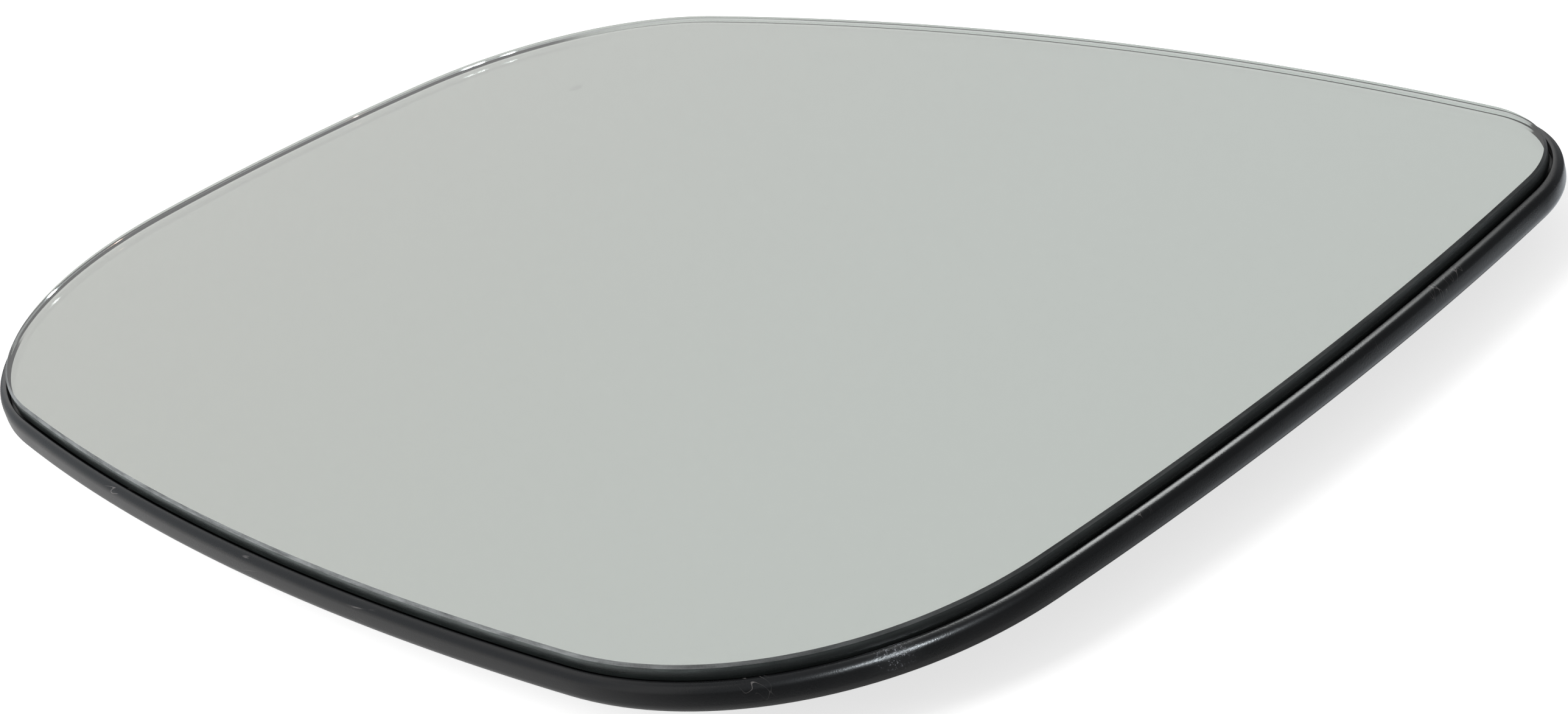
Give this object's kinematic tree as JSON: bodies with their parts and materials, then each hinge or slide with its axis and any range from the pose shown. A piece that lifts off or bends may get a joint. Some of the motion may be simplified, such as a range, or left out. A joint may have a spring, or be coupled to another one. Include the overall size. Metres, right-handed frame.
{
  "type": "car door mirror glass",
  "caption": "Convex door mirror glass with a ground edge, bonded in a black moulded backing plate with a rounded rim, a locating ring and spring claws behind.",
  "frame": {"origin": "on the axis of the actuator socket, in the plane of the locating ring's open end, on which the part rests", "axes": "+Z out of the mirror face, +X along the long side towards the door, +Y up on the car"},
  "size_m": [0.1829, 0.1296, 0.014],
  "materials": {
    "mirror_glass": "second-surface mirror with a slight green cast and a ground, darker edge",
    "adhesive_foam": "matt black double-sided foam sheet",
    "plate_plastic": "satin black moulded plastic"
  },
  "bodies": {
    "root": {"mirror_glass": "mirror_glass", "adhesive_pad": "adhesive_foam", "backing_plate": "plate_plastic"}
  },
  "joints": []
}
